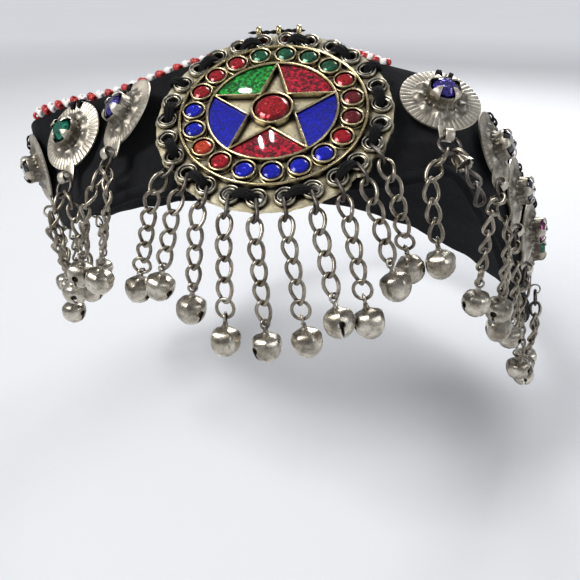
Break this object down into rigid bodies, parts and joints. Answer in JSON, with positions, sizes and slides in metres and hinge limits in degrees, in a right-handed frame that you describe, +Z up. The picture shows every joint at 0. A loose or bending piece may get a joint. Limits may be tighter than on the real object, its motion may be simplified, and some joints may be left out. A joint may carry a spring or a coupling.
{
  "type": "headband jewellery",
  "caption": "Black cloth headband with a round star medallion of glass and resin, stamped stone-set discs along both sides, and short chain drops that end in jingle bells.",
  "frame": {"origin": "the middle of the hollow that the head fills, on the head's upright axis", "axes": "+Z up as worn, -Y the wearer's front where the medallion is, +X on the right of a front view"},
  "size_m": [0.1973, 0.213, 0.1274],
  "materials": {
    "black_cotton": "matt doubled cotton, woven",
    "seed_beads": "red and white glass seed beads",
    "cast_white_brass": "cast, silver washed, darkened in the recesses",
    "pale_brass": "polished wire",
    "black_cord": "waxed cord",
    "red_resin": "resin full of glitter",
    "green_resin": "resin full of glitter",
    "blue_resin": "resin full of glitter",
    "red_glass": "faceted, foil backed",
    "green_glass": "faceted, foil backed",
    "blue_glass": "faceted, foil backed",
    "violet_glass": "faceted, foil backed",
    "teal_glass": "faceted, foil backed",
    "smoke_glass": "faceted, foil backed",
    "magenta_glass": "faceted, foil backed",
    "stamped_white_metal": "stamped sheet, darkened in the recesses",
    "chain_metal": "aged curb chain",
    "bell_metal": "aged bright metal"
  },
  "bodies": {
    "root": {"head_band": "black_cotton", "bead_edging": "seed_beads", "medallion_plate": "cast_white_brass", "centre_stone": "red_glass", "top_loops": "pale_brass", "loop_cord": "black_cord", "star_inlay_1": "green_resin", "star_inlay_2": "blue_resin", "star_inlay_3": "red_resin", "star_inlay_4": "blue_resin", "star_inlay_5": "red_resin", "rim_stone_01": "green_glass", "rim_stone_02": "green_glass", "rim_stone_03": "green_glass", "rim_stone_04": "green_glass", "rim_stone_05": "red_glass", "rim_stone_06": "red_glass", "rim_stone_07": "red_glass", "rim_stone_08": "red_glass", "rim_stone_09": "blue_glass", "rim_stone_10": "blue_glass", "rim_stone_11": "blue_glass", "rim_stone_12": "blue_glass", "rim_stone_13": "red_glass", "rim_stone_14": "red_glass", "rim_stone_15": "blue_glass", "rim_stone_16": "blue_glass", "rim_stone_17": "red_glass", "rim_stone_18": "red_glass", "rim_stone_19": "red_glass", "disc_right_1": "stamped_white_metal", "disc_right_2": "stamped_white_metal", "disc_right_3": "stamped_white_metal", "disc_right_4": "stamped_white_metal", "disc_right_5": "stamped_white_metal", "disc_left_1": "stamped_white_metal", "disc_left_2": "stamped_white_metal", "disc_left_3": "stamped_white_metal", "disc_left_4": "stamped_white_metal", "disc_left_5": "stamped_white_metal", "disc_stone_right_1": "violet_glass", "disc_stone_right_2": "smoke_glass", "disc_stone_right_3": "smoke_glass", "disc_stone_right_4": "magenta_glass", "disc_stone_right_5": "smoke_glass", "disc_stone_left_1": "violet_glass", "disc_stone_left_2": "teal_glass", "disc_stone_left_3": "smoke_glass", "disc_stone_left_4": "magenta_glass", "disc_stone_left_5": "smoke_glass", "medallion_chains": "chain_metal", "medallion_bells": "bell_metal", "right_disc_chains": "chain_metal", "right_disc_bells": "bell_metal", "left_disc_chains": "chain_metal", "left_disc_bells": "bell_metal"}
  },
  "joints": []
}
